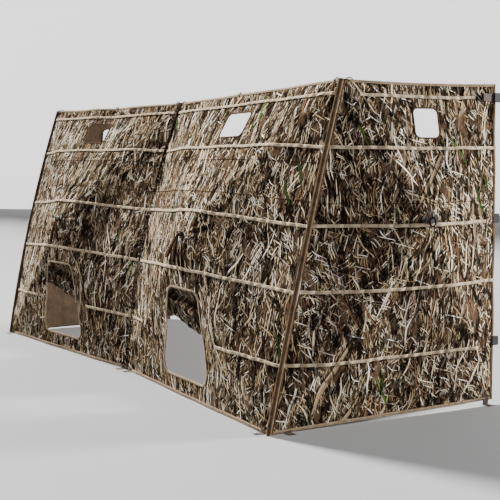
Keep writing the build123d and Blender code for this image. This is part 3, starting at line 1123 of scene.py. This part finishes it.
@dataclass
class Skin(WallPiece):
    """The wall's cloth: rings from the hub out to the edge, with the openings cut out."""

    rings: int = 72
    eye: float = 0.012
    allowance: float = 0.02

    def openings(self) -> list:
        """The outlines that are cut out, as rows of u, v."""
        front = self.wall.kind is Surface.FRONT
        return [window_outline(self.wall)] + ([door_outline(self.wall)] if front else [])

    def make(self) -> bpy.types.Object:
        """Ring k is hub + r(k) (edge - hub).

        Faces whose middle is in an opening go, and the points left along the cut are
        moved onto its outline.

        Returns:
            The cloth.
        """
        wall, line = self.wall, []
        for i in range(4):
            a, b = wall.edge[i], wall.edge[(i + 1) % 4]
            count = int(np.linalg.norm(b - a) / GRID_STEP)
            line.append(a + (b - a) * np.linspace(0, 1, count, endpoint=False)[:, None])
        line = np.vstack(line)
        reach = np.linspace(self.eye, 1, self.rings)
        spots = wall.hub + (line - wall.hub)[None] * reach[:, None, None]
        flat = spots.reshape(-1, 2)
        faces = Grid(spots, spots, wrap_columns=True).faces(False)
        for outline in self.openings():
            gone = inside(flat[faces].mean(1), outline)
            edge = np.intersect1d(faces[gone], faces[~gone])
            flat[edge] = nearest(flat[edge], outline)
            faces = faces[~gone]
        used = np.unique(faces)
        number = np.zeros(len(flat), int)
        number[used] = np.arange(len(used))
        flat, faces = flat[used], number[faces]
        points = wall.place(flat[:, 0], flat[:, 1], np.zeros(len(flat)))
        first = points[faces[0]]
        if np.cross(first[1] - first[0], first[2] - first[0]) @ np.array(wall.outward) < 0:
            faces = faces[:, ::-1]
        obj = build(f"cloth_{wall.name}", points, faces, flat, self.looks.print_by_wall[wall.name])
        self.thicken(obj, -1.0, lined=True)
        obj.modifiers["thickness"].material_offset_rim = 1
        self.dress(obj, "camo_fabric")
        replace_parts(obj, f"skin_{wall.name}")
        a = points[faces]
        return obj


@dataclass
class PolePockets(WallPiece):
    """A pocket inside each corner for a pole's end."""

    leg: float = 0.15
    count: int = 16
    clear: float = 0.012
    edge_depth: float = 0.0035
    belly: float = 0.0165

    def make(self) -> None:
        """Triangles whose depth is the edge's, and the belly's times 27abc.

        a, b and c are a point's shares of the three corners. The side where the pole
        goes in keeps a quarter of 16bc of the belly.
        """
        wall, parts = self.wall, []
        ramp = np.linspace(0, 1, self.count)
        across, down = np.meshgrid(ramp, ramp)
        for i, corner in enumerate(wall.edge):
            on, back = unit(wall.edge[(i + 1) % 4] - corner), unit(wall.edge[i - 1] - corner)
            start = corner + unit(on + back) * self.clear
            share_on, share_back = down * across, down * (1 - across)
            spots = start + (on * share_on[..., None] + back * share_back[..., None]) * self.leg
            middle = (1 - down) * share_on * share_back * 27
            mouth = 16 * share_on * share_back * down**6
            depth = -self.edge_depth - self.belly * np.clip(middle + mouth * 0.25, 0, 1)
            grid = Grid(wall.place(spots[..., 0], spots[..., 1], depth), spots)
            parts.append((grid.points, grid.faces(wall.side > 0), grid.uv))
        obj = build(f"pole_pockets_{wall.name}", *join(parts), self.looks.pocket)
        self.thicken(obj, 0.0)
        self.dress(obj, "pocket_fabric")
        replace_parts(obj, f"pockets_{wall.name}")


@dataclass
class SewnSeams(WallPiece):
    """Narrow level seams where two cuts of cloth are sewn together."""

    front_heights: tuple = (1.287, 1.100)
    end_heights: tuple = (1.061,)
    width: float = 0.003

    def make(self) -> None:
        """One narrow band at each height."""
        wall = self.wall
        heights = self.front_heights if wall.kind is Surface.FRONT else self.end_heights
        section = flat_section(self.width, 0.0008, 0.0009)
        parts = [sweep(wall, even(np.array(self.level(v)), 0.012), section) for v in heights]
        self.dress(build(f"sewn_seams_{wall.name}", *join(parts), self.looks.dark), "camo_fabric")


@dataclass
class BrushLoops(WallPiece):
    """Small cord loops on the top edge, for holding brush."""

    front_shares: tuple = (0.02, 0.46, 0.985)
    end_shares: tuple = (0.03,)
    cord: float = 0.0026
    half_width: float = 0.016
    half_height: float = 0.008

    def make(self) -> None:
        """Each loop is a flat ellipse, bent out of its plane by sin 2a."""
        wall, parts = self.wall, []
        a, b = wall.edge[3], wall.edge[2]
        turn = np.linspace(0, 2 * pi, 28, endpoint=False)
        for share in self.front_shares if wall.kind is Surface.FRONT else self.end_shares:
            spot = a + (b - a) * share
            base, across, up, out = wall.frame(float(spot[0]), float(spot[1]) - 0.004)
            loop = (base + np.outer(np.cos(turn) * self.half_width, across)
                    + np.outer(np.sin(turn) * self.half_height + 0.003, up)
                    + np.outer(0.002 + 0.003 * np.sin(2 * turn), out))
            parts.append(tube(loop, self.cord, 8, closed=True))
        self.dress(build(f"top_loops_{wall.name}", *join(parts), self.looks.dark), "tab_webbing")


def edge_path(wall: Wall, i: int, inward: float, step: float = 0.012) -> np.ndarray:
    """A line beside one edge of the cloth.

    Args:
        wall: the wall.
        i: the edge: 0 foot, 1 right, 2 top, 3 left.
        inward: how far in from the edge.
        step: spacing of its points.

    Returns:
        Rows of u, v.
    """
    a, b = wall.edge[i], wall.edge[(i + 1) % 4]
    way = unit(b - a)
    aside = np.array([-way[1], way[0]]) * inward
    return even(np.array([a + aside, b + aside]), step)


@dataclass
class StubbleStraps(WallPiece):
    """Tapes sewn down at even spacing and standing a little proud between."""

    tack: float = 0.075
    proud: float = 0.0036
    wander: float = 0.0025
    step: float = 0.0075

    def make(self) -> None:
        """The lift between tacks is proud |sin(pi s / tack)|, and the line wanders a little."""
        wall, parts = self.wall, []
        rng = np.random.default_rng(wall.seed + 100)
        section = flat_section(STRAP_WIDTH, 0.0014, 0.0016)
        for share, spans in zip(STRAP_HEIGHTS, wall.spans):
            a, b = self.level(share * wall.slope)
            for start, stop in spans:
                line = even(np.array([a + (b - a) * start, a + (b - a) * stop]), self.step)
                drift = rng.uniform(-self.wander, self.wander, 12)
                line[:, 1] += np.interp(np.linspace(0, 11, len(line)), np.arange(12), drift)
                parts.append(sweep(wall, line, section, ripple=self.ripple))
        obj = self.dress(build(f"stubble_straps_{wall.name}", *join(parts), self.looks.strap),
                         "stubble_webbing")
        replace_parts(obj, f"straps_{wall.name}")

    def ripple(self, run: np.ndarray) -> np.ndarray:
        """Lift between tacks. Args: run, distance along. Returns the lift."""
        return self.proud * np.abs(np.sin(pi * run / self.tack))


@dataclass
class EdgeTapes(WallPiece):
    """Tape along the top, hem and back edge and round each opening."""

    hem: float = 0.018
    back: float = 0.020
    top: float = 0.014
    window: float = 0.007
    door: float = 0.012

    def beside(self, i: int, width: float, low: float) -> tuple:
        """One tape along edge i. Args: i; width; low, its underside. Returns points, faces, uv."""
        return sweep(self.wall, edge_path(self.wall, i, width / 2), flat_section(width, low, 0.0018))

    def make(self) -> None:
        """Brown tape where it is in shade, paler tape where the light falls on it."""
        wall = self.wall
        end = wall.kind is Surface.END
        brown, pale = [], [self.beside(0, self.hem, 0.0003)]
        if end:
            brown.append(self.beside(1, self.back, 0.0004))
        pale.append(self.beside(2, self.top, 0.0005))
        rings = [(window_outline(wall, 0.003), self.window, brown)]
        if not end:
            rings.append((door_outline(wall, 0.005), self.door, pale))
        for outline, width, outer in rings:
            outer.append(sweep(wall, outline, flat_section(width, 0.0006, 0.002), closed=True))
            brown.append(sweep(wall, outline, flat_section(width, -0.0034, 0.002), closed=True))
        obj = self.dress(build(f"tape_{wall.name}", *join(brown), self.looks.trim), "edge_webbing")
        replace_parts(obj, f"binding_{wall.name}")
        self.dress(build(f"pale_tape_{wall.name}", *join(pale), self.looks.tan), "edge_webbing")


def seam_line(base: np.ndarray, bow: np.ndarray, dip: float, count: int = 120) -> np.ndarray:
    """A seam that stands where two walls meet: foot + s lean + 4s(1 - s) bow, dipped as s^6.

    Args:
        base: its foot.
        bow: how far its middle is pushed out.
        dip: how far its top is low.
        count: how many points.

    Returns:
        Rows of points in the right half of the row frame.
    """
    s = np.linspace(0.0005, 0.9995, count)[:, None]
    line = base + s * np.array([0, LEAN, HEIGHT]) + 4 * s * (1 - s) * bow
    way = unit(np.array([0, LEAN, HEIGHT]))
    return line - s**6 * dip * (way - 0.35 * SEAM_FACE)


@dataclass
class Seams:
    """Sleeves over the two front corners and the middle seam."""

    walls: Sequence[Wall]
    looks: Looks

    def make(self) -> None:
        """Round sleeves, each with a flat tape sewn down beside it."""
        by_name = {w.name: WallPiece(w, self.looks) for w in self.walls}
        for side, sign in SIDES.items():
            front, end = by_name[f"front_{side}"], by_name[f"end_{side}"]
            path = seam_line(np.array([LENGTH / 2, FRONT_LINE, 0.0]), front.wall.bows[1], 0.0)
            parts = tube(path * np.array([sign, 1, 1]), SLEEVE_RADIUS - 0.0006, 18)
            sleeve = front.dress(build(f"sleeve_{side}", *parts, self.looks.sleeve), "edge_webbing")
            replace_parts(sleeve, f"corner_sleeve_{side}")
            for piece, edge in ((front, 1), (end, 3)):
                path = edge_path(piece.wall, edge, 0.003)
                band = sweep(piece.wall, path, flat_section(0.008, 0.0008, 0.002))
                name = f"sleeve_tape_{piece.wall.name}"
                piece.dress(build(name, *band, self.looks.trim), "edge_webbing")
        right = by_name["front_right"]
        path = seam_line(MIDDLE_FOOT, right.wall.bows[3], MIDDLE_DIP)
        # The middle seam and its tapes wear the flap print, with its painted shade.
        obj = build("middle_seam", *tube(path, SEAM_RADIUS - 0.0008, 14), self.looks.flap)
        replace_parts(right.dress(obj, "edge_webbing"), "seam_sleeve")
        for side in SIDES:
            wall = by_name[f"front_{side}"].wall
            band = sweep(wall, edge_path(wall, 3, 0.006), flat_section(0.012, 0.0008, 0.0016))
            obj = build(f"seam_tape_{wall.name}", *band, self.looks.flap)
            by_name[wall.name].dress(obj, "edge_webbing")


@dataclass
class WindowFlap(WallPiece):
    """Window flap, let down inside under the window."""

    margin: float = 0.015
    hinge_drop: float = 0.014

    def make(self) -> None:
        """It hangs a little further in towards its foot, with folds sin 42u that grow."""
        wall = self.wall
        low, high = wall.window_span
        wide, tall = wall.window_width + 2 * self.margin, high - low + 2 * self.margin
        uu, dd = np.meshgrid(np.linspace(-wide / 2, wide / 2, 34) + wall.middle, np.linspace(0, tall, 20))
        lift = -0.006 - 0.004 * np.sin(uu * 42 + 1) * dd / tall - 0.012 * (dd / tall)
        vv = low - self.hinge_drop - dd
        grid = Grid(wall.place(uu, vv, lift), np.stack([uu, vv], -1))
        # Its print carries painted shade.
        obj = build(f"flap_window_{wall.name}", grid.points, grid.faces(wall.side > 0), grid.uv,
                    self.looks.flap)
        self.thicken(obj, -1.0, lined=True)
        self.dress(obj, "flap_fabric", f"window_flap_{wall.name}")
        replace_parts(obj, f"window_flap_{wall.name}")


@dataclass
class DoorFlap(WallPiece):
    """Door flap, folded up on itself in the head of the doorway, its foot sloping."""

    drop: float = 0.226
    slant: float = 0.058
    flare: float = 0.085
    margin: float = 0.018
    hinge_rise: float = 0.022
    cut: float = 0.40

    def profile(self, u: np.ndarray) -> list:
        """Eight (drop, depth) pairs for each u.

        The flap falls back inside, comes out again over a ledge that deepens to the
        right, turns under at its foot and goes back up.

        Args:
            u: -1 to 1 across the flap.

        Returns:
            The pairs, from the hinge.
        """
        tilt = u * self.wall.side
        length, same = self.drop + self.slant * tilt, 0 * u
        return [
            (same, 0.006 + same), (0.10 * length, 0.024 + same),
            ((0.36 + 0.02 * tilt) * length, 0.050 + 0.004 * tilt),
            ((0.56 + 0.14 * tilt) * length, 0.008 + same), (0.93 * length, 0.034 + same),
            (1.00 * length, 0.040 + same), (0.95 * length, 0.050 + same), (0.30 * length, 0.066 + same),
        ]

    def make(self) -> None:
        """Rows that run smoothly through the profile, each with two small waves across it."""
        wall, u = self.wall, np.linspace(-1, 1, 44)
        knots = self.profile(u)
        points, uvs, run, last = [], [], 0 * u, None
        for k in np.linspace(0, len(knots) - 1, 50):
            i = min(int(k), len(knots) - 2)
            q = smooth_step(np.array(k - i), 0, 1) * 0.5 + (k - i) * 0.5
            drop, depth = ((1 - q) * knots[i][m] + q * knots[i + 1][m] for m in (0, 1))
            share = np.clip(drop / self.drop, 0, 1.1)
            half = DOOR_HEAD / 2 + self.margin + self.flare * smooth_step(share, 0.0, 0.45)
            wave = 0.004 * np.sin(7 * u + 1.3) * share + 0.003 * np.sin(17 * u + 3 * share) * share
            spot_u = wall.hub[0] + u * half
            spot = wall.place(spot_u, DOOR_HIGH + self.hinge_rise - drop, -depth + wave)
            if last is not None:
                run = run + np.linalg.norm(spot - last, axis=1)
            last = spot
            points.append(spot)
            uvs.append(np.stack([spot_u, 0.3 - run], -1))
        grid = Grid(np.array(points), np.array(uvs))
        # Its print carries painted shade.
        obj = build(f"flap_door_{wall.name}", grid.points, grid.faces(wall.side > 0), grid.uv,
                    self.looks.flap)
        self.thicken(obj, 0.0)
        self.dress(obj, "flap_fabric", f"door_flap_{wall.name}")
        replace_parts(obj, f"door_flap_{wall.name}")
        self.make_tie()

    def make_tie(self) -> None:
        """The short tape beside the doorway that ties the flap up."""
        wall = self.wall
        lash = np.array([[wall.hub[0] - 0.245, 0.44], [wall.hub[0] - 0.232, 0.33]])
        tie = sweep(wall, even(lash, 0.008), flat_section(0.014, 0.0032, 0.0014))
        self.dress(build(f"door_tie_{wall.name}", *tie, self.looks.tan), "tab_webbing")


def ribbon(
    centre: np.ndarray, wide: np.ndarray, thick: np.ndarray, run: np.ndarray, half: float, flip: bool
) -> tuple:
    """A flat strap in open air: centre, plus or minus half its width and half its thickness.

    Args:
        centre: rows of points.
        wide: half its width, as a vector or rows.
        thick: half its thickness, as a vector.
        run: distance along it.
        half: half the width that its stitching is drawn for.
        flip: turn its faces over.

    Returns:
        (points, faces, uv).
    """
    ring = np.stack([centre - wide - thick, centre + wide - thick, centre + wide + thick,
                     centre - wide + thick], 1)
    across = np.array([-half, half, half, -half])
    uv = np.stack([np.broadcast_to(run[:, None], ring.shape[:2]),
                   np.broadcast_to(across[None], ring.shape[:2])], -1)
    faces = Grid(ring, uv, wrap_columns=True).faces(flip).tolist() + caps(len(run), 4, flip)
    return ring, faces, uv


@dataclass
class Pull(WallPiece):
    """The pull at the hub: an arched bar and a webbing V in front, a ring and loop at the end."""

    lift: float = 0.004
    legs: tuple = ((-0.085, 0.135), (0.012, 0.155))
    drawn_half: float = 0.017
    ring_rise: float = 0.024

    def __post_init__(self) -> None:
        """Work out where the hub cap is and which way is across and up on it."""
        wall = self.wall
        across = wall.frame(*wall.hub)[1]
        low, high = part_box(f"hub_cap_{wall.name}")
        self.face = np.array(wall.outward)
        self.across = unit(across - (across @ self.face) * self.face)
        self.up = np.cross(self.face, self.across) * wall.side
        if self.up[2] < 0:
            self.up = -self.up
        self.centre = np.array(low + high) / 2 + self.face * self.lift

    def at(self, across, up, out) -> np.ndarray:
        """Points beside the cap. Args: how far across, up and out. Returns rows of points."""
        return (self.centre + np.outer(across, self.across) + np.outer(up, self.up)
                + np.outer(out, self.face))

    def carry(self, obj: bpy.types.Object, slot: str) -> bpy.types.Object:
        """Fix a piece to the hub. Args: obj, the piece; slot, not used. Returns the piece."""
        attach(obj, f"hub_{self.wall.name}")
        return obj

    def front(self) -> tuple:
        """The bar is a half ellipse, and the V's legs lean, widen and narrow. Returns both."""
        s = np.linspace(0, 1, 26)
        arch = self.at(np.cos(pi * s) * 0.026, np.sin(pi * s) * 0.014, np.sin(pi * s) * 0.012)
        parts = []
        for lean, long_leg in self.legs:
            down = self.at(s * lean, -s * long_leg, 0.010 + 0.006 * np.sin(pi * s))
            half = 0.012 + 0.008 * smooth_step(s, 0.0, 0.4) - 0.006 * smooth_step(s, 0.9, 1.0)
            wide, thick = self.across * half[:, None], self.face * 0.0014
            parts.append(ribbon(down, wide, thick, s * long_leg, self.drawn_half, self.wall.side < 0))
        return tube(arch, 0.0045, 10), join(parts)

    def end(self) -> tuple:
        """Two closed ellipses, the loop hanging from the ring. Returns both."""
        turn = np.linspace(0, 2 * pi, 40, endpoint=False)
        sine, cosine = np.sin(turn), np.cos(turn)
        ring = self.at(sine * 0.011, cosine * 0.015 + self.ring_rise, 0.010 + 0.003 * cosine)
        loop = self.at(sine * 0.014, cosine * 0.022 - 0.030 + self.ring_rise, 0.009 + 0.004 * sine)
        return tube(ring, 0.0024, 10, closed=True), tube(loop, 0.0042, 10, closed=True)

    def make(self) -> None:
        """The hard piece and the soft one."""
        name = self.wall.name
        bar, soft = self.front() if self.wall.kind is Surface.FRONT else self.end()
        self.carry(build(f"pull_bar_{name}", *bar, self.looks.black), "black_plastic")
        obj = self.carry(build(f"pull_{name}", *soft, self.looks.dark), "dark_webbing")
        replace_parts(obj, f"pull_loop_{name}")


@dataclass
class MiddleStrap(WallPiece):
    """The strap that hangs down the middle seam from its top."""

    half_width: float = 0.0085
    half_thick: float = 0.0009
    stand: float = 0.0105
    below_top: float = 0.012

    def make(self) -> None:
        """It follows the seam's line, standing off along the seam's outward direction."""
        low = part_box("seam_strap")[0]
        path = seam_line(MIDDLE_FOOT, self.wall.bows[3], MIDDLE_DIP, 200)
        top = HEIGHT - MIDDLE_DIP - self.below_top
        centre = path[(path[:, 2] > low.z) & (path[:, 2] < top)][::3] + SEAM_FACE * self.stand
        run = np.linalg.norm(centre - centre[0], axis=1)
        wide, thick = np.array([self.half_width, 0, 0]), SEAM_FACE * self.half_thick
        obj = build("middle_strap", *ribbon(centre, wide, thick, run, self.half_width, True),
                    self.looks.dark)
        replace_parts(self.dress(obj, "dark_webbing"), "seam_strap")


@dataclass
class Stage:
    """Floor, backdrop and lights: a high key from the left and a low rim from behind."""

    key: tuple = (-0.80, -0.12, 0.59)
    rim: tuple = (0.25, 0.92, 0.26)
    sky: float = 0.09

    def sheet(self, name: str, corners: list, tones: tuple, scale: float, glow: float) -> bpy.types.Object:
        """One flat sheet with a faint mottle.

        Args:
            name: of the sheet.
            corners: its four corners.
            tones: its two greys.
            scale: of the mottle.
            glow: light that it gives, or 0.

        Returns:
            The sheet.
        """
        mesh = bpy.data.meshes.new(name)
        mesh.from_pydata(corners, [], [(0, 1, 2, 3)])
        obj = bpy.data.objects.new(name, mesh)
        bpy.context.scene.collection.objects.link(obj)
        g = Graph(f"{name}_white")
        speck = g.noise(g.add("ShaderNodeTexCoord").outputs["Object"], scale)
        tone = g.mix(speck, *((grey, grey, grey, 1) for grey in tones))
        more = {"Emission_Color": tone, "Emission_Strength": glow} if glow else {}
        mesh.materials.append(g.finish(tone, 1.0 if glow else 0.9, **more))
        return obj

    def light(self, name: str, toward: tuple, spread: float, strength: float) -> None:
        """One far light. Args: name; toward, where it stands; spread in degrees; strength."""
        data = bpy.data.lights.new(name, "SUN")
        data.energy, data.angle = strength, radians(spread)
        lamp = bpy.data.objects.new(name, data)
        lamp.rotation_euler = Vector(toward).to_track_quat("Z", "Y").to_euler()
        bpy.context.scene.collection.objects.link(lamp)

    def make(self) -> None:
        """Floor, backdrop, two lights and an even sky."""
        ground = [(-40, -40, 0), (40, -40, 0), (40, 60, 0), (-40, 60, 0)]
        wall = [(-30, 2, -1), (-2, 22, -1), (-2, 22, 14), (-30, 2, 14)]
        self.sheet("floor", ground, (0.22, 0.24), 3.0, 0.0)
        self.sheet("backdrop", wall, (0.98, 1.0), 0.2, 1.6)
        self.light("key", self.key, 12, 17.0)
        self.light("rim", self.rim, 18, 11.5)
        world = bpy.data.worlds.new("sky")
        world.use_nodes = True
        back = world.node_tree.nodes["Background"]
        back.inputs["Color"].default_value = (1.0, 1.0, 1.0, 1)
        back.inputs["Strength"].default_value = self.sky
        bpy.context.scene.world = world


@dataclass
class Viewpoint:
    """A long lens at standing height, off the right front corner."""

    place: tuple = (6.358, -3.306, 1.269)
    yaw: float = 60.267
    pitch: float = -4.481
    roll: float = -0.357
    lens: float = 82.14

    def make(self) -> None:
        """Turn the camera by yaw from +Y, then pitch, then roll about its own line."""
        data = bpy.data.cameras.new("camera")
        data.lens, data.sensor_width = self.lens, 36.0
        camera = bpy.data.objects.new("camera", data)
        bpy.context.scene.collection.objects.link(camera)
        yaw, pitch, roll = radians(self.yaw), radians(self.pitch), radians(self.roll)
        ahead = Vector((-sin(yaw) * cos(pitch), cos(yaw) * cos(pitch), sin(pitch)))
        level = Vector((cos(yaw), sin(yaw), 0))
        over = level.cross(ahead)
        right = level * cos(roll) + over * sin(roll)
        turn = Matrix((right, right.cross(ahead), -ahead)).transposed().to_4x4()
        camera.matrix_world = Matrix.Translation(self.place) @ turn
        bpy.context.scene.camera = camera


def dress_frame(frame: dict, looks: Looks) -> None:
    """Give every CAD node that stays its material.

    Args:
        frame: what import_model() gave.
        looks: the materials.
    """
    by_start = {"pole": looks.rod, "hub_cap": looks.cap, "tabs": looks.tab}
    for name, node in frame["nodes"].items():
        if node.hide_render:
            continue
        found = [material for start, material in by_start.items() if name.startswith(start)]
        node.data.materials.clear()
        node.data.materials.append(found[0] if found else looks.black)


def main() -> None:
    """Build every piece."""
    logging.basicConfig(level=logging.INFO)
    Viewpoint().make()
    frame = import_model()
    walls = make_walls()
    looks = make_looks(walls)
    for wall in walls:
        kinds = [Skin, StubbleStraps, EdgeTapes, PolePockets, SewnSeams, BrushLoops, WindowFlap]
        if wall.kind is Surface.FRONT:
            kinds.append(DoorFlap)
        for kind in kinds + [Pull]:
            kind(wall, looks).make()
    Seams(walls, looks).make()
    MiddleStrap(walls[0], looks).make()
    dress_frame(frame, looks)
    Stage().make()


if __name__ == "__main__":
    main()
